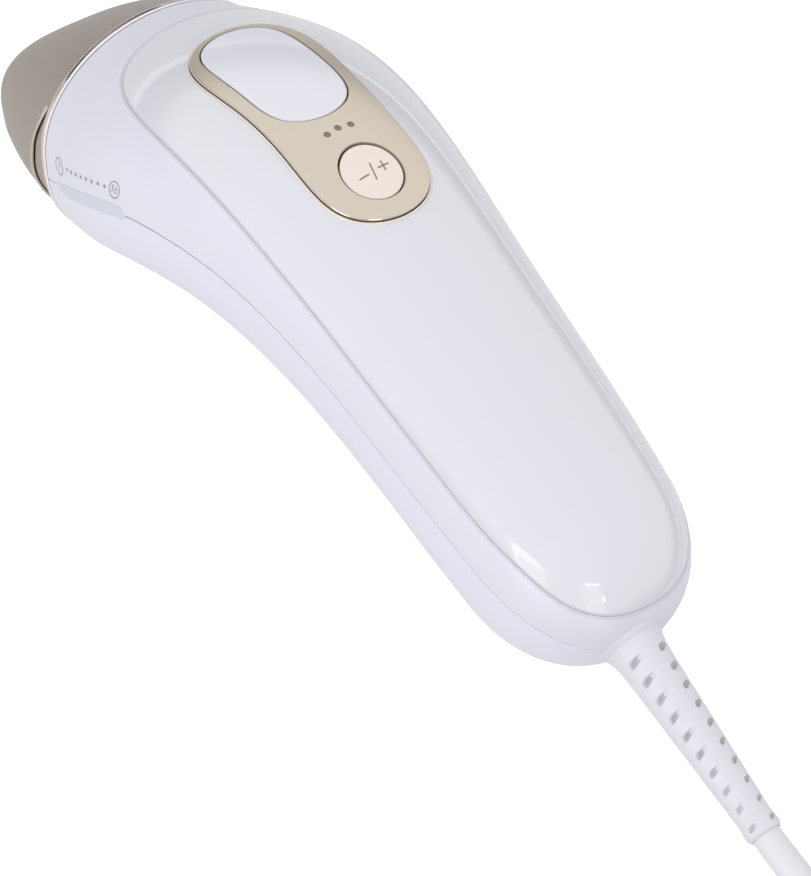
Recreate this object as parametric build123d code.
from build123d import *
import operator
import os
from collections import namedtuple
from functools import reduce
from math import comb
from pathlib import Path

import numpy as np

# Hand-held intense-pulsed-light hair remover.  Millimetres, +Z up.
# +X runs along the handle from the treatment head to the cable, the control
# face looks up (+Z), Y is across the body.  Everything is laid out from the
# centre of the head ring; SHIFT then moves the origin to the bottom centre of
# the whole object.  "Front" is the control side (+Z), "rear" the side below.
# A place s along the body runs from 0 at the head ring to 1 at the tail.

SHIFT = (-92.742, 0.0, 25.724)

# ------------------------------------------------------------ body dimensions
BODY_LEN = 147.2            # spine length, head ring to tail dome
SPINE_S = [0, .10, .2, .33, .53, .75, 1.0]
SPINE_DEG = [28.071, 37.459, 32.009, 18.081, 5.993, -1.171, -2.72]      # slope at SPINE_S
HALF_W = [25.005, 29.234, 30.279, 27.555, 23.328, 21.079, 18.075]       # at SPINE_S
HEIGHT_S = [0, .13, .3, .53, .8, 1.0]
FRONT_H = [20.228, 22.266, 21.771, 16.719, 16.070, 15.625]              # at HEIGHT_S
REAR_H = [23.861, 18.938, 17.260, 19.251, 19.945, 17.341]               # at HEIGHT_S
SEAM_S = [0, .04, .12, .2173, .27, .40, .6, 1.0]
# parting line angle at SEAM_S, positive to the rear of the spine
SEAM_RAD = [.168, .077, -.008, -.0865, -.0985, -.0964, -.0247, -.1111]
EXP_FRONT = (2.0165, 2.5726)        # superellipse exponent at the head and the tail
EXP_REAR = 2.3688
DOME_R, DOME_EXP = 22.925, 2.3147
WALL = 2.0                          # housing wall
SEAM_GAP = 0.10                     # half gap at the parting line

# Outlines on the front skin: range of s, end exponents, and Bernstein
# coefficients of the half width from start to end
BEZEL = dict(start=.156, end=.4589, start_exp=1.948, widths=[21.85, 7.43, 9.114, 18.948])
BUTTON = dict(start=.1612, end=.3239, start_exp=1.907, widths=[14.454, 4.023, 14.127])
GLOSS = dict(start=.0783, end=.9808, start_exp=2.758, end_exp=2.248,
             widths=[32.0, 20.531, 21.66, 15.118, 29.69])


# ------------------------------------------------------------- curve helpers
def natural_spline(xs, ys):
    """Natural cubic spline through the knots, as a function of x."""
    xs, ys = np.asarray(xs, float), np.asarray(ys, float)
    n = len(xs)
    gap = np.diff(xs)
    system, load = np.eye(n), np.zeros(n)
    for i in range(1, n - 1):
        system[i, i - 1:i + 2] = gap[i - 1], 2 * (gap[i - 1] + gap[i]), gap[i]
        load[i] = 6 * ((ys[i + 1] - ys[i]) / gap[i] - (ys[i] - ys[i - 1]) / gap[i - 1])
    bend = np.linalg.solve(system, load)

    def value(x):
        i = np.clip(np.searchsorted(xs, x) - 1, 0, n - 2)
        after, before, g = xs[i + 1] - x, x - xs[i], gap[i]
        return ((bend[i] * after ** 3 + bend[i + 1] * before ** 3) / (6 * g)
                + (ys[i] / g - bend[i] * g / 6) * after
                + (ys[i + 1] / g - bend[i + 1] * g / 6) * before)
    return value


def signed_power(value, exponent):
    """Superellipse coordinate for a cosine or sine value."""
    return np.sign(value) * abs(value) ** (2 / exponent)


def oval(half_width, front, rear, front_exp, rear_exp, count=26):
    """(y, height) points round a section with different front and rear halves."""
    points = []
    for k in range(count):
        angle = -np.pi / 2 + 2 * np.pi * k / count
        rise = np.sin(angle)
        height, exponent = (front, front_exp) if rise >= 0 else (rear, rear_exp)
        points.append((half_width * signed_power(np.cos(angle), exponent),
                       height * signed_power(rise, exponent)))
    return points


def closed(points):
    return Wire([Edge.make_spline([Vector(*p) for p in points], periodic=True)])


def lines(*points):
    return [Edge.make_line(a, b) for a, b in zip(points, points[1:])]


def inset(points, distance):
    """Move a closed outline inward by distance (outward when negative)."""
    pts = np.array(points)
    tangent = np.roll(pts, -1, 0) - np.roll(pts, 1, 0)
    tangent /= np.linalg.norm(tangent, axis=1)[:, None]
    normal = np.c_[-tangent[:, 1], tangent[:, 0]]
    xs, ys = pts.T
    area = 0.5 * np.sum(xs * np.roll(ys, -1) - np.roll(xs, -1) * ys)
    return pts + normal * distance * np.sign(area)


# ------------------------------------------------------------- solid helpers
def prism(points, plane, low, high):
    """Closed prism through 2-D points on a plane, from height low to high."""
    face = Face(closed([tuple(plane.from_local_coords(Vector(x, y, 0))) for x, y in points]))
    base = face.moved(Location(tuple(plane.z_dir * low)))
    return Solid.extrude(base, plane.z_dir * (high - low))


def block(plane, x, y, z, lx, ly, lz, r=0.0):
    """Box centred at local x, y, z, with its local-Z edges rounded to r."""
    box = Box(lx, ly, lz)
    if r:
        box = fillet(box.edges().filter_by(Axis.Z), r)
    return plane.location * Pos(x, y, z) * box


def rod(plane, x, y, z, radius, length):
    """Cylinder along the plane normal, centred at local x, y, z."""
    return plane.location * Pos(x, y, z) * Cylinder(radius, length)


def rod_from(start, direction, radius, length):
    return rod(Plane(origin=start, z_dir=direction), 0, 0, length / 2, radius, length)


def joined(shapes):
    return reduce(operator.add, shapes)


PIECES = []


def piece(build):
    """Register a function that builds the node of the same name."""
    PIECES.append(build)
    return build


# -------------------------------------------------------------- body surface
half_width_at = natural_spline(SPINE_S, HALF_W)
front_at = natural_spline(HEIGHT_S, FRONT_H)
rear_at = natural_spline(HEIGHT_S, REAR_H)
seam_angle_at = natural_spline(SEAM_S, SEAM_RAD)


def running_sum(rate):
    return np.r_[0, np.cumsum((rate[1:] + rate[:-1]) / 2)]


FINE_S = np.linspace(0, 1, 301)
SLOPE = np.radians(natural_spline(SPINE_S, SPINE_DEG)(FINE_S))
FINE_STEP = BODY_LEN / 300
SPINE_X = running_sum(np.cos(SLOPE) * FINE_STEP)
SPINE_Z = running_sum(np.sin(SLOPE) * FINE_STEP)
Station = namedtuple("Station", "x z slope half_width front rear front_exp")


def station(s, off=0.0):
    """Spine point and section sizes at s; off moves the skin outward."""
    x, z, slope = (np.interp(s, FINE_S, curve) for curve in (SPINE_X, SPINE_Z, SLOPE))
    u = min(max((s * BODY_LEN - (BODY_LEN - DOME_R)) / (DOME_R + off), 0), 1)
    dome = max(1 - u ** DOME_EXP, 1e-6) ** (1 / DOME_EXP)
    sizes = [float(f(s) + off) * dome for f in (half_width_at, front_at, rear_at)]
    front_exp = EXP_FRONT[0] + (EXP_FRONT[1] - EXP_FRONT[0]) * s
    return Station(x, z, slope, *sizes, front_exp)


def side_point(st, height):
    """(x, z) at a height above the spine, square to it."""
    return st.x - height * np.sin(st.slope), st.z + height * np.cos(st.slope)


def body_ring(s, off=0.0):
    st = station(s, off)
    points = []
    for y, height in oval(st.half_width, st.front, st.rear, st.front_exp, EXP_REAR):
        x, z = side_point(st, height)
        points.append((x, y, z))
    return points


def body_solid(off=0.0):
    last = (BODY_LEN - DOME_R) / BODY_LEN + (DOME_R + off) * 0.968 / BODY_LEN
    last = min(last, 0.9999)
    places = last * (1 - (1 - np.linspace(0, 1, 13)) ** 1.6)      # closer towards the tail
    return Solid.make_loft([closed(body_ring(s, off)) for s in places])


def frame_at(s, height):
    """Plane facing the front at a height above the spine, local x towards the tail."""
    st = station(s)
    x, z = side_point(st, height)
    cos, sin = np.cos(st.slope), np.sin(st.slope)
    return Plane(origin=(x, 0, z), x_dir=(cos, 0, sin), z_dir=(-sin, 0, cos))


def skin_point(s, y, off=0.0):
    """Point on the front skin."""
    st = station(s)
    across = min(abs(y) / st.half_width, 0.9999) ** (st.front_exp / 2)
    height = st.front * np.sqrt(1 - across * across) ** (2 / st.front_exp) + off
    x, z = side_point(st, height)
    return x, y, z


def outline(plane, start, end, start_exp, widths, end_exp=None, off=0.0, count=28):
    """Closed outline on the front skin, in the plane's local x and y."""
    degree = len(widths) - 1
    points = []
    for k in range(count):
        angle = 2 * np.pi * k / count
        along = np.cos(angle)
        exponent = start_exp if (along < 0 or end_exp is None) else end_exp
        u = 0.5 + 0.5 * signed_power(along, exponent)
        width = sum(w * comb(degree, i) * u ** i * (1 - u) ** (degree - i)
                    for i, w in enumerate(widths))
        y = width * signed_power(np.sin(angle), exponent)
        local = plane.to_local_coords(Vector(*skin_point(start + (end - start) * u, y, off)))
        points.append((local.X, local.Y))
    return points


# -------------------------------------------------------------- parting line
def seam_height(s, st):
    angle = seam_angle_at(s)
    sine = np.sin(abs(angle))
    if angle >= 0:
        return -st.rear * sine ** (2 / EXP_REAR)
    return st.front * sine ** (2 / st.front_exp)


def seam_curve(s_values, lift=0.0):
    """(x, z) points along the parting line, raised by lift."""
    stations = [(s, station(s)) for s in s_values]
    return np.array([side_point(st, seam_height(s, st) + lift) for s, st in stations])


SIDE_Y = 60                 # side cutters start this far out on the -Y side


def seam_half(sign):
    """All space above (+1) or below (-1) the parting line, less the gap."""
    seam = seam_curve(np.linspace(0, 1, 15))
    lead = seam[0] - seam[1]
    lead /= np.linalg.norm(lead)
    seam = np.vstack([seam[0] + lead * 12, seam, [seam[-1][0] + 15, seam[-1][1] - 0.6]])
    tangent = np.gradient(seam, axis=0)
    tangent /= np.linalg.norm(tangent, axis=1)[:, None]
    curve = seam + np.c_[-tangent[:, 1], tangent[:, 0]] * SEAM_GAP * sign
    points = [Vector(x, -SIDE_Y, z) for x, z in curve]
    first, last = points[0], points[-1]
    far_z = 90 * sign
    rest = lines(last, Vector(last.X, -SIDE_Y, far_z), Vector(first.X, -SIDE_Y, far_z), first)
    return Solid.extrude(Face(Wire([Edge.make_spline(points)] + rest)), Vector(0, 2 * SIDE_Y, 0))


def seam_band(start, end, half_height):
    """Band along the parting line on the -Y side, slanted at its tail end."""
    places = np.linspace(start, end, 15)
    upper, lower = ([Vector(x, -SIDE_Y, z) for x, z in seam_curve(places, lift)]
                    for lift in (half_height, -half_height))
    upper = upper[:-1]
    face = Face(Wire([Edge.make_spline(upper), *lines(upper[-1], lower[-1]),
                      Edge.make_spline(lower), *lines(lower[0], upper[0])]))
    return Solid.extrude(face, Vector(0, SIDE_Y, 0))


# -------------------------------------------------- control face and tail axes
CTRL = frame_at(.31, station(.31).front)        # control face, local z outward

RELIEF_DEG = -3.79
SLEEVE_SIDE, SLEEVE_YAW = -0.925, 2.04          # the sleeve leans slightly sideways


def tail_direction(yaw):
    pitch = np.radians(RELIEF_DEG)
    return Vector(np.cos(pitch) * np.cos(yaw), np.sin(yaw), np.sin(pitch) * np.cos(yaw))


RELIEF_DIR = tail_direction(np.radians(SLEEVE_YAW))
TAIL = Vector(float(SPINE_X[-1]), SLEEVE_SIDE, float(SPINE_Z[-1]))
RELIEF = Plane(origin=TAIL, x_dir=(0, 1, 0), z_dir=RELIEF_DIR)

# ------------------------------------------------------------------ housings
GLOSS_GAP = 0.25            # each side of the gloss cover edge
BEZEL_GAP = 0.15
BEZEL_LIFT = 0.8            # bezel face above the body skin
GLOSS_CUT = dict(plane=Plane.XY, low=-40, high=90)
CTRL_CUT = dict(plane=CTRL, low=-14, high=12)
SLOT_PITCH = 2.6
FRAME_SCREWS = [(65, 13.2), (65, -13.2), (119, 11.0), (119, -11.0)]     # x, y
PLATE_Z0, PLATE_Z1 = 33.0, 34.8                 # inner frame plate


def ring_wire(shift, off):
    """Head end section moved along the spine by shift."""
    along = np.array([np.cos(SLOPE[0]), 0, np.sin(SLOPE[0])])
    return closed([np.array(p) + along * shift for p in body_ring(0.0, off)])


# the inner cut is lengthened through the ring face
MOUTH = Solid.make_loft([ring_wire(-3, -WALL), ring_wire(0, -WALL)])
SHELL = body_solid() - body_solid(-WALL) - MOUTH
ABOVE, BELOW = seam_half(1), seam_half(-1)
GLOSS_XY = outline(Plane.XY, **GLOSS)
BEZEL_XY = outline(CTRL, off=BEZEL_LIFT, **BEZEL)
BAR_CUT = seam_band(.026, .2140, 1.1)
TAIL_HOLE = rod_from(TAIL + RELIEF_DIR * -9, RELIEF_DIR, 5.05, 16)


@piece
def front_housing():
    gloss_opening = prism(inset(GLOSS_XY, -GLOSS_GAP), **GLOSS_CUT)
    return (SHELL & ABOVE) - gloss_opening - BAR_CUT - TAIL_HOLE


@piece
def gloss_cover():
    bezel_opening = prism(inset(BEZEL_XY, -BEZEL_GAP), **CTRL_CUT)
    gloss_inside = prism(inset(GLOSS_XY, GLOSS_GAP), **GLOSS_CUT)
    return (SHELL & gloss_inside & ABOVE) - bezel_opening - TAIL_HOLE


def screw_boss(x, y, fill):
    """Post from the rear wall to just below the inner frame, with a pilot hole."""
    trim = Pos(x, y, PLATE_Z0 / 2 - 0.05) * Cylinder(3.2, PLATE_Z0)
    boss = (Pos(x, y, 16) * Cylinder(2.9, 34)) & fill & trim
    return boss - Pos(x, y, 29) * Cylinder(1.05, 9.0)


@piece
def rear_housing():
    """Rear half with ventilation slots in the neck and the frame screw bosses."""
    rear = (SHELL & BELOW) - BAR_CUT - TAIL_HOLE
    vent = frame_at(.30, -station(.30).rear + 4)
    for k in range(-3, 4):
        rear = rear - block(vent, SLOT_PITCH * k, 0, -6, 1.2, 15, 12, .55)
    fill = body_solid(-0.8)
    return rear + joined(screw_boss(x, y, fill) for x, y in FRAME_SCREWS)


# -------------------------------------------------------------- control area
BTN_GAP = 0.22
BUTTON_LIFT = 1.0
MODE_R = 5.85
DOT_PITCH = 2.55            # three indicator dots across the body
BOARD_Z = -9.2              # control board top, below the control plane
BOARD_T = 1.2
SW_H = 2.6                  # switch body height
STEM_LOW = BOARD_Z + SW_H + 1.0
LENS_R, LENS_LEN = 0.6, 4.6


def ctrl_x(s, y=0.0):
    """Control-plane coordinates of a point on the bezel face."""
    return CTRL.to_local_coords(Vector(*skin_point(s, y, BEZEL_LIFT)))


BUTTON_XY = outline(CTRL, off=BEZEL_LIFT, **BUTTON)
TREAT_X = float(np.mean(BUTTON_XY, axis=0)[0])
MODE_X = ctrl_x(.3999).X
DOTS = []                   # local x, y, z of the indicator dots
for k in (-1, 0, 1):
    dot = ctrl_x(.3437, DOT_PITCH * k)
    DOTS.append((dot.X - (0.35 if k == 0 else 0.0), DOT_PITCH * k, dot.Z))


@piece
def control_bezel():
    skin = body_solid(BEZEL_LIFT) - body_solid(-WALL)
    bezel = (skin & prism(BEZEL_XY, **CTRL_CUT)) - prism(BUTTON_XY, **CTRL_CUT)
    bezel = bezel - rod(CTRL, MODE_X, 0, 0, MODE_R, 40)
    for x, y, z in DOTS:
        bezel = bezel - rod(CTRL, x, y, 0, 0.62, 40)
    return bezel


@piece
def indicator_lenses():
    return joined(rod(CTRL, x, y, z - 2.4, LENS_R, LENS_LEN) for x, y, z in DOTS)


def button(footprint, x, stem_r):
    """Cap cut from the raised skin, with a stem down towards its switch."""
    skin = body_solid(BUTTON_LIFT) - body_solid(-1.6)
    line = [CTRL.to_local_coords(Vector(*skin_point(s, 0))) for s in np.linspace(.05, .6, 400)]
    skin_z = float(np.interp(x, [p.X for p in line], [p.Z for p in line]))
    top = skin_z - 1.2
    stem = rod(CTRL, x, 0, (top + STEM_LOW) / 2, stem_r, top - STEM_LOW)
    return (skin & footprint) + stem


@piece
def treatment_button():
    return button(prism(inset(BUTTON_XY, BTN_GAP), **CTRL_CUT), TREAT_X, 2.0)


@piece
def mode_button():
    return button(rod(CTRL, MODE_X, 0, 0, MODE_R - BTN_GAP, 40), MODE_X, 1.6)


@piece
def control_board():
    return block(CTRL, (TREAT_X + MODE_X) / 2, 0, BOARD_Z - BOARD_T / 2, 36, 20, BOARD_T, 1.0)


def switch_body(x):
    middle = BOARD_Z + SW_H / 2
    return block(CTRL, x, 0, middle, 6, 6, SW_H, 0.4) - rod(CTRL, x, 0, middle + 0.9, 1.3, SW_H)


def switch_plunger(x):
    return rod(CTRL, x, 0, STEM_LOW - 0.9, 1.25, 1.76)


@piece
def treatment_switch_body():
    return switch_body(TREAT_X)


@piece
def treatment_switch_plunger():
    return switch_plunger(TREAT_X)


@piece
def mode_switch_body():
    return switch_body(MODE_X)


@piece
def mode_switch_plunger():
    return switch_plunger(MODE_X)


@piece
def indicator_leds():
    return joined(block(CTRL, x, y, BOARD_Z + 0.4, 1.6, 0.9, 0.8) for x, y, z in DOTS)


@piece
def indicator_light_guide():
    """Three pins under the lenses, tied by a cross bar."""
    low = BOARD_Z + 1.0
    pins = joined(rod(CTRL, x, y, (low + z - 4.8) / 2, 0.55, z - 4.8 - low) for x, y, z in DOTS)
    return pins + block(CTRL, DOTS[0][0], 0, BOARD_Z + 2.1, 1.3, 6.4, 0.8)


@piece
def chrome_ring():
    ring = Solid.make_loft([ring_wire(-1.15, -0.30), ring_wire(-0.05, 0.0)])
    return ring - Solid.make_loft([ring_wire(-2.5, -1.9), ring_wire(1, -1.9)])


# ------------------------------------------------------------ treatment head
HEAD_DEG = 42.0             # treatment axis below the handle axis
HEAD_LEN = 26.27            # ring centre to treatment rim
RIM_W, RIM_UP, RIM_DN = 17.17, 11.04, 9.54
RIM_EXP, HEAD_BULGE, HEAD_SAG = 2.947, 0.5814, -1.2134
ATT_START = 0.068           # attachment rear edge, as a fraction of HEAD_LEN
SCOOP_TOP, SCOOP_MID, SCOOP_END = 0.60, -0.385, -1.27       # angles round the side
SCOOP_DEPTH = 0.265         # fraction of HEAD_LEN
SCOOP_Y = 4                 # scoops start this far from the centre plane
OPEN_W, OPEN_H = 26.2, 12.2         # attachment opening
FRAME_W, FRAME_H = 26.8, 14.0       # window frame outside
FRAME_BACK = 8.1
GLASS_W, GLASS_H, GLASS_T = 23.2, 11.8, 2.9
GLASS_BACK = 20.25
SENSOR_X = 12.3

_head = np.radians(HEAD_DEG)
AXIS = np.array([-np.cos(_head), 0, -np.sin(_head)])        # out through the window
HEAD_UP = np.array([-np.sin(_head), 0, np.cos(_head)])
# local x is across the body (-Y), y is HEAD_UP, z the treatment axis
HEAD = Plane(origin=(0, 0, 0), x_dir=(0, -1, 0), z_dir=tuple(AXIS))
NECK = station(0)
NECK_UP = np.array([-np.sin(SLOPE[0]), 0, np.cos(SLOPE[0])])


def head_at(depth, up=0.0, y=0.0):
    return tuple(AXIS * depth + HEAD_UP * up + np.array([0, y, 0]))


def head_box(back, front, lx, ly, x=0.0, r=0.0):
    """Box between two depths along the treatment axis."""
    return block(HEAD, x, 0, (back + front) / 2, lx, ly, front - back, r)


def head_size(v, off=0.0):
    """Half width, upper and lower height, exponent; v is 0 at the ring, 1 at the rim."""
    blend = v - HEAD_BULGE * v * (1 - v)
    ends = ((NECK.half_width - .375, RIM_W), (NECK.front * .985, RIM_UP),
            (NECK.rear * .985, RIM_DN))
    sizes = [neck * (1 - blend) + rim * blend + off for neck, rim in ends]
    return *sizes, NECK.front_exp * (1 - v) + RIM_EXP * v


def head_point(v, y, height):
    middle = AXIS * HEAD_LEN * v + NECK_UP * HEAD_SAG * v
    x, _, z = middle + height * (NECK_UP * (1 - v) + HEAD_UP * v)
    return x, y, z


def head_solid(start, end, off=0.0):
    wires = []
    for v in np.linspace(start, end, 5):
        half, up, down, exponent = head_size(v, off)
        points = oval(half, up, down, exponent, exponent)
        wires.append(closed([head_point(v, y, height) for y, height in points]))
    return Solid.make_loft(wires)


def scoop_point(k):
    """Attachment rear edge along a scoop, k from 0 at the top to 1 below."""
    angle = SCOOP_TOP + (SCOOP_END - SCOOP_TOP) * k
    far = SCOOP_TOP if angle > SCOOP_MID else SCOOP_END
    turn = min((angle - SCOOP_MID) / (far - SCOOP_MID), 1)
    v = ATT_START + SCOOP_DEPTH * max(np.cos(np.pi / 2 * turn), 0) ** 2.1
    _, up, down, exponent = head_size(v)
    rise = np.sin(angle)
    height = (up if rise >= 0 else down) * signed_power(rise, exponent)
    return Vector(*head_point(v, SCOOP_Y, height))


@piece
def head_attachment():
    cap = head_solid(ATT_START, 1.0)
    # guards the rim rounding: if the kernel cannot round the edge it stays sharp
    try:
        rim = cap.faces().sort_by(Axis((0, 0, 0), tuple(AXIS)))[-1]
        cap = fillet(rim.edges(), 1.6)
    except Exception:
        pass
    cap = cap - head_solid(ATT_START - 0.06, 1 - 2.0 / HEAD_LEN, -1.4)
    cap = cap - head_box(HEAD_LEN - 6, HEAD_LEN + 3, OPEN_W, OPEN_H, r=3.0)
    # finger scoops at both sides, where the cap is pulled off
    edge = [scoop_point(k) for k in np.linspace(0.03, 0.97, 13)]
    back = [Vector(*head_at(-8, up, SCOOP_Y)) for up in (-24, 12)]
    face = Face(Wire([Edge.make_spline(edge)] + lines(edge[-1], *back, edge[0])))
    scoop = Solid.extrude(face, Vector(0, 30, 0))
    return cap - scoop - scoop.mirror(Plane.XZ)


@piece
def nose_collar():
    """Collar inside the attachment, carries the window."""
    collar = head_solid(-0.04, 0.40, -1.85) - head_solid(-0.12, 0.34, -3.2)
    return collar - head_box(0, 14, FRAME_W + 3.8, FRAME_H + 3.8, r=2.0)


@piece
def window_frame():
    frame = head_box(FRAME_BACK, 24.15, FRAME_W, FRAME_H, r=3.0)
    frame = frame - head_box(4.0, 20.2, GLASS_W + .2, GLASS_H + .2)
    frame = frame - head_box(20.0, 23.2, GLASS_W + .1, GLASS_H + .1, r=1.0)
    frame = frame - head_box(22.0, 26.0, 22.4, 11.0, r=2.0)
    for side in (-1, 1):
        frame = frame - rod(HEAD, side * SENSOR_X, 0, 24, 0.72, 4)
    return frame


@piece
def skin_tone_sensors():
    return joined(rod(HEAD, side * SENSOR_X, 0, 23.1, 0.68, 1.8) for side in (-1, 1))


@piece
def filter_window():
    return head_box(GLASS_BACK, GLASS_BACK + GLASS_T, GLASS_W, GLASS_H, r=1.0)


@piece
def light_duct():
    duct = head_box(FRAME_BACK, 20.1, GLASS_W, GLASS_H)
    return duct - head_box(7, 21, GLASS_W - 1.6, GLASS_H - 1.6)


@piece
def nose_gasket():
    gasket = head_box(6.9, 11.2, FRAME_W + 3.6, FRAME_H + 3.6, r=2.0)
    return gasket - head_box(5, 13, FRAME_W + .1, FRAME_H + .1, r=2.9)


# ---------------------------------------------------------- lamp and cooling
LAMP_R, LAMP_HALF = 2.5, 16.5
LAMP_DEPTH = 2.0
BOWL_R, BOWL_W = 5.0, 22.4          # reflector hollow
FAN_R = 11.0
FAN = Plane(origin=head_at(-22.0, -4.0), x_dir=(0, -1, 0), z_dir=tuple(AXIS))


def cross_rod(radius, length, x=0.0):
    """Cylinder on the lamp axis, across the head."""
    return HEAD.location * Pos(x, 0, LAMP_DEPTH) * (Rot(0, 90, 0) * Cylinder(radius, length))


@piece
def lamp_reflector():
    reflector = head_box(-4.0, 8.0, 24.2, 12.6)
    reflector = reflector - cross_rod(BOWL_R, BOWL_W)
    reflector = reflector - head_box(LAMP_DEPTH, 9.0, BOWL_W, 2 * BOWL_R)
    return reflector - cross_rod(LAMP_R + .15, 40)


@piece
def flash_lamp():
    return cross_rod(LAMP_R, 2 * LAMP_HALF) - cross_rod(LAMP_R - .8, 2 * LAMP_HALF - 2.0)


@piece
def lamp_electrodes():
    return joined(cross_rod(LAMP_R - .4, 2.0, side * (LAMP_HALF + 1.1)) for side in (-1, 1))


@piece
def lamp_holders():
    return joined(block(HEAD, side * 14.3, 0, 1.0, 3.2, 11.0, 10.0)
                  - cross_rod(LAMP_R + .03, 60) for side in (-1, 1))


@piece
def lamp_heat_sink():
    """Plate behind the reflector with fins pointing back to the fan."""
    sink = head_box(-6.6, -4.1, 26, 14)
    for k in range(-5, 6):
        sink = sink + head_box(-15.5, -6.5, 1.0, 14, x=2.45 * k)
    return sink


@piece
def fan_housing():
    """Square frame with a three-armed hub plate and bearing tube."""
    arm_z = -3.9
    hub = rod(FAN, 0, 0, arm_z, 5.6, 1.2)
    for k in range(3):
        arm = Rot(0, 0, 120 * k + 30) * Pos(8.5, 0, arm_z)
        hub = hub + FAN.location * arm * Box(7.4, 1.6, 1.2)
    fan = FAN.location * (Box(25, 25, 9) - Cylinder(FAN_R + .5, 12)) + hub
    fan = fan + rod(FAN, 0, 0, -1.8, 1.8, 3.2)
    return fan - rod(FAN, 0, 0, 0, 1.25, 9.2)


@piece
def fan_bearing():
    return FAN.location * Pos(0, 0, -1.9) * (Cylinder(1.22, 3.0) - Cylinder(0.75, 4))


@piece
def fan_rotor():
    """Cup and shaft with seven pitched blades, trimmed to the fan radius."""
    cup = Cylinder(5.2, 6.3) - Pos(0, 0, -1.0) * Cylinder(4.5, 6.3)
    rotor = FAN.location * Pos(0, 0, 0.35) * cup
    rotor = rotor + rod(FAN, 0, 0, -0.1, 0.72, 6.0)
    for k in range(7):
        place = Rot(0, 0, 360 / 7 * k) * Pos(7.9, 0, 0.4) * Rot(38, 0, 0)
        rotor = rotor + FAN.location * place * Box(5.8, 0.8, 5.4)
    return rotor & (FAN.location * Cylinder(FAN_R, 8.0))


@piece
def fan_stator():
    return FAN.location * Pos(0, 0, -1.6) * (Cylinder(3.9, 2.6) - Cylinder(1.9, 4))


@piece
def trigger_coil():
    """Coil beside the fan."""
    return rod_from(head_at(-13, 2, 19.5), tuple(-AXIS), 4.0, 13)


# ------------------------------------------------------------ handle insides
PCB_Z0, PCB_T = 38.0, 1.6
BOARD_HOLES = [(x, y) for x in (59, 113) for y in (10, -10)]
CAP_R, CAP_LEN, CAP_Z = 9.0, 36.0, 23.2         # storage capacitor
TRANSFORMER = Pos(52.5, 0, 25.6)
COMPONENTS = [              # x, y, then size in x, y, z
    (70, -5, 9, 6, 2.2), (80, 4, 7, 7, 1.6), (92, -4, 6, 9, 2.6),
    (101, 5, 5, 5, 2.0), (74, 6, 4, 2.6, 1.2), (88, 7, 3.2, 1.8, 1.1),
]


def cross_screw(x, y, shank, head, slot):
    """Upright screw; shank and head are (z, radius, length), slot (z, long, wide, deep)."""
    shank_z, shank_r, shank_len = shank
    head_z, head_r, head_len = head
    slot_z, long, wide, deep = slot
    screw = (Pos(x, y, shank_z) * Cylinder(shank_r, shank_len)
             + Pos(x, y, head_z) * Cylinder(head_r, head_len))
    screw = screw - Pos(x, y, slot_z) * Box(long, wide, deep)
    return screw - Pos(x, y, slot_z) * Box(wide, long, deep)


@piece
def inner_frame():
    """Plate across the handle with four posts for the main board."""
    frame = Pos(84.5, 0, (PLATE_Z0 + PLATE_Z1) / 2) * Box(77, 31.6, PLATE_Z1 - PLATE_Z0)
    frame = fillet(frame.edges().filter_by(Axis.Z), 4)
    for x, y in FRAME_SCREWS:
        frame = frame - Pos(x, y, 34) * Cylinder(1.35, 6)
    for x, y in BOARD_HOLES:
        frame = frame + Pos(x, y, (PLATE_Z1 + PCB_Z0) / 2) * Cylinder(2.2, PCB_Z0 - PLATE_Z1)
        frame = frame - Pos(x, y, PCB_Z0 - 2) * Cylinder(0.85, 4.2)
    return frame


@piece
def frame_screws():
    return joined(cross_screw(x, y, (30.9, 1.0, 7.9), (35.6, 2.2, 1.5), (36.2, 2.6, 0.6, 0.9))
                  for x, y in FRAME_SCREWS)


@piece
def main_board():
    board = Pos(86, 0, PCB_Z0 + PCB_T / 2) * Box(62, 25, PCB_T)
    for x, y in BOARD_HOLES:
        board = board - Pos(x, y, PCB_Z0) * Cylinder(1.0, 6)
    return board


@piece
def board_screws():
    return joined(cross_screw(x, y, (PCB_Z0 - 0.2, 0.8, 3.6), (PCB_Z0 + 2.2, 1.6, 1.2),
                              (PCB_Z0 + 2.7, 1.9, 0.4, 0.6)) for x, y in BOARD_HOLES)


@piece
def storage_capacitor():
    return Pos(87.5, 0, CAP_Z) * Rot(0, 90, 0) * Cylinder(CAP_R, CAP_LEN)


@piece
def capacitor_cradle():
    cradle = joined(Pos(x, 0, 28.6) * Box(4, 23, 8.6)
                    - Pos(x, 0, CAP_Z) * Rot(0, 90, 0) * Cylinder(CAP_R + .05, 10)
                    for x in (76, 99))
    return cradle & (Pos(87, 0, 28.45) * Box(60, 40, 8.9))


@piece
def transformer_core():
    core = TRANSFORMER * Box(13, 15, 12.6) - TRANSFORMER * Box(14, 11, 8.6)
    return core + TRANSFORMER * Box(13, 4.4, 8.8)


@piece
def transformer_winding():
    return TRANSFORMER * Box(11.6, 10.6, 8.2) - TRANSFORMER * Box(14, 4.8, 9)


def on_board(x, y, lx, ly, lz):
    """Box standing just clear of the main board's top."""
    return Pos(x, y, PCB_Z0 + PCB_T + 0.05 + lz / 2) * Box(lx, ly, lz)


@piece
def board_components():
    return joined(on_board(*row) for row in COMPONENTS)


@piece
def board_connector():
    return on_board(107.5, 0, 4.6, 9, 3.2)


@piece
def power_transistor():
    return on_board(63.5, 0, 4.0, 8.0, 2.2)


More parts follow.
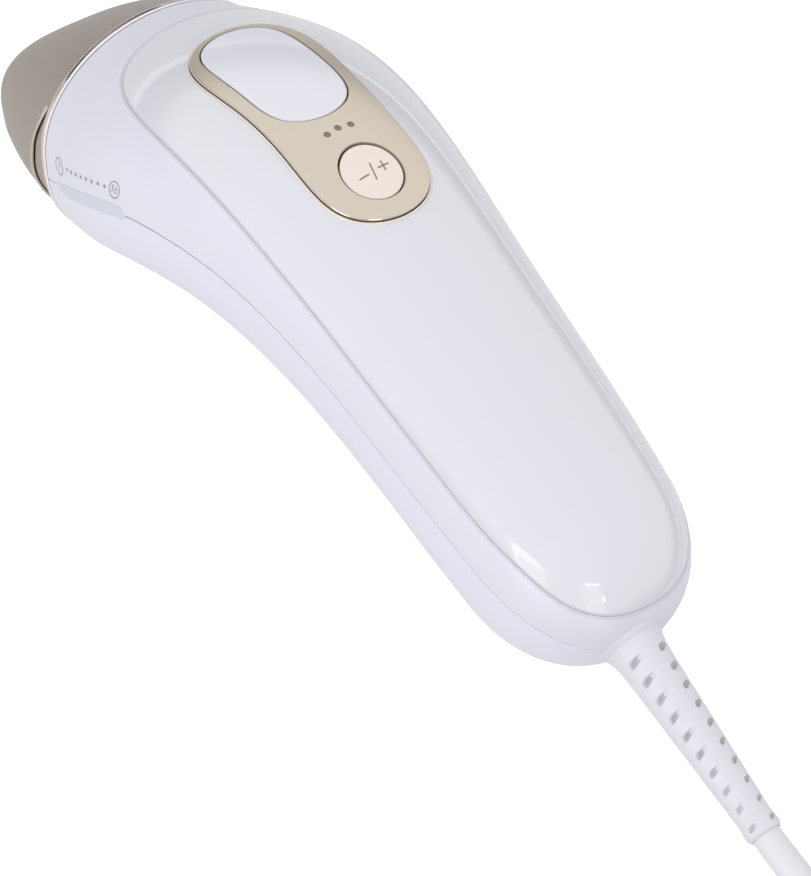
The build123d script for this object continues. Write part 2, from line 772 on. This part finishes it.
# --------------------------------------------------------------- cable entry
RELIEF_LEN = 39.5
RELIEF_BORE = 2.95
TAPER_R0, TAPER_R1 = 4.70, 3.25     # sleeve radius at both ends of the taper
TAPER_END = 3.0                     # taper starts and stops this far from the ends
CABLE_R = 2.75
INNER_R = CABLE_R - .06             # cable inside the sleeve
CABLE_IN = 14                       # cable start inside the body
CABLE_STUB = 30.3                   # straight cable past the bend
BEND_AT, BEND_DEG = 41.0, 5.7       # the lead leaves with a slight sideways bend
CLAMP_Z, CLAMP_SCREW_X = -11.4, 5.6

KNEE = RELIEF.from_local_coords(Vector(0, 0, BEND_AT))
CABLE_DIR = tail_direction(np.radians(BEND_DEG))
CABLE_OUT = Plane(origin=KNEE + CABLE_DIR * CABLE_STUB, z_dir=CABLE_DIR)
CABLE_START = Plane(origin=RELIEF.from_local_coords(Vector(0, 0, -CABLE_IN)),
                    x_dir=(0, 1, 0), z_dir=RELIEF_DIR)
CORE_XY = [(1.25 * np.cos(a), 1.25 * np.sin(a)) for a in np.radians([90, 210, 330])]


@piece
def strain_relief():
    """Tapered sleeve with an inner flange and ten rows of four notches."""
    profile = [             # distance along the axis, radius
        (-8.2, RELIEF_BORE), (-8.2, 6.3), (-5.8, 6.3), (-5.8, 4.95), (0.9, 4.95),
        (TAPER_END, TAPER_R0), (RELIEF_LEN - TAPER_END, TAPER_R1),
        (RELIEF_LEN - 2.2, 3.45), (RELIEF_LEN, 3.40), (RELIEF_LEN, RELIEF_BORE),
    ]
    points = [RELIEF.from_local_coords(Vector(r, 0, along)) for along, r in profile]
    face = Face(Wire(lines(*points, points[0])))
    sleeve = Solid.revolve(face, 360, Axis(RELIEF.origin, RELIEF_DIR))
    slope = (TAPER_R0 - TAPER_R1) / (RELIEF_LEN - 2 * TAPER_END)
    for k in range(10):
        along = 3.0 + 3.83 * k
        r = TAPER_R0 - (along - TAPER_END) * slope
        for angle, width in ((60, 0.65), (137, 0.92), (240, 0.65), (317, 0.92)):
            place = RELIEF.location * Rot(0, 0, angle) * Pos(r + 0.1, 0, along)
            sleeve = sleeve - place * Box(1.5, r * width, 1.4)
    return sleeve


@piece
def power_cable():
    cable = rod(RELIEF, 0, 0, (BEND_AT - CABLE_IN) / 2, INNER_R, BEND_AT + CABLE_IN)
    cable = cable + Pos(*KNEE) * Sphere(INNER_R)
    cable = cable + rod_from(KNEE, CABLE_DIR, CABLE_R, CABLE_STUB)
    for x, y in CORE_XY:
        cable = cable - rod(CABLE_OUT, x, y, 0, 0.92, 16) - rod(CABLE_START, x, y, 0, 0.92, 10)
    return cable


@piece
def cable_conductors():
    """Three cores showing at both ends of the cable."""
    return joined(rod(CABLE_OUT, x, y, -3.4, 0.9, 8.8) + rod(CABLE_START, x, y, 1.65, 0.9, 6.3)
                  for x, y in CORE_XY)


def clamp_rod(side, y, radius, length):
    place = RELIEF.location * Pos(side * CLAMP_SCREW_X, y, CLAMP_Z)
    return place * Rot(90, 0, 0) * Cylinder(radius, length)


@piece
def cable_clamp():
    clamp = RELIEF.location * Pos(0, 0, CLAMP_Z) * (Box(15, 8, 4) - Cylinder(CABLE_R + .03, 10))
    for side in (-1, 1):
        clamp = clamp - clamp_rod(side, 0, 0.9, 14)
    return clamp


@piece
def clamp_screws():
    return joined(clamp_rod(side, 0, 0.85, 8.0) + clamp_rod(side, -4.75, 1.5, 1.3)
                  for side in (-1, 1))


# --------------------------------------------------------- side level scale
_bar = station(.12)
BAR_PLANE = Plane(origin=(_bar.x, -(_bar.half_width - 8.4), _bar.z),
                  x_dir=(np.cos(_bar.slope), 0, np.sin(_bar.slope)), z_dir=(0, -1, 0))
LEVEL_Y = 1.2
LED_SPAN, LED_COUNT = 22, 10


@piece
def level_light_bar():
    """Bar in the -Y side wall, along the parting line."""
    bar = (body_solid(0.02) - body_solid(-WALL)) & seam_band(.0300, .2095, 0.9)
    return bar & Pos(0, -30, 0) * Box(400, 60, 400)


@piece
def level_board():
    return block(BAR_PLANE, 0, LEVEL_Y, 0, 24, 6, 1.0)


@piece
def level_leds():
    pitch = LED_SPAN / (LED_COUNT - 1)
    return joined(block(BAR_PLANE, -LED_SPAN / 2 + pitch * k, LEVEL_Y, 0.85, 1.0, 0.8, 0.6)
                  for k in range(LED_COUNT))


def wire_path(points, radius=0.8):
    """Round wire through the points, with a ball at each bend."""
    wire = None
    for i, (start, end) in enumerate(zip(points, points[1:])):
        run = Vector(*end) - Vector(*start)
        length = rod_from(start, run, radius, run.length)
        wire = length if wire is None else wire + length
        if i:
            wire = wire + Pos(*start) * Sphere(radius)
    return wire


@piece
def lamp_leads():
    coil_lead = wire_path([head_at(2.0, 0, 19.5), head_at(-12.8, 2.0, 19.5)])
    return coil_lead + wire_path([head_at(2.0, 0, -19.5), head_at(-14, 2.0, -19.5),
                                  (27, -19.5, 26.5), (43.0, -14, 36.4)])


# -------------------------------------------------------------------- export
os.makedirs("parts", exist_ok=True)
for old in Path("parts").glob("*.step"):
    old.unlink()
for build in PIECES:
    shape = build()
    if not isinstance(shape, (Solid, Compound)):
        shape = Compound(list(shape.solids() if hasattr(shape, "solids") else shape))
    export_step(shape.moved(Location(SHIFT)), f"parts/{build.__name__}.step")
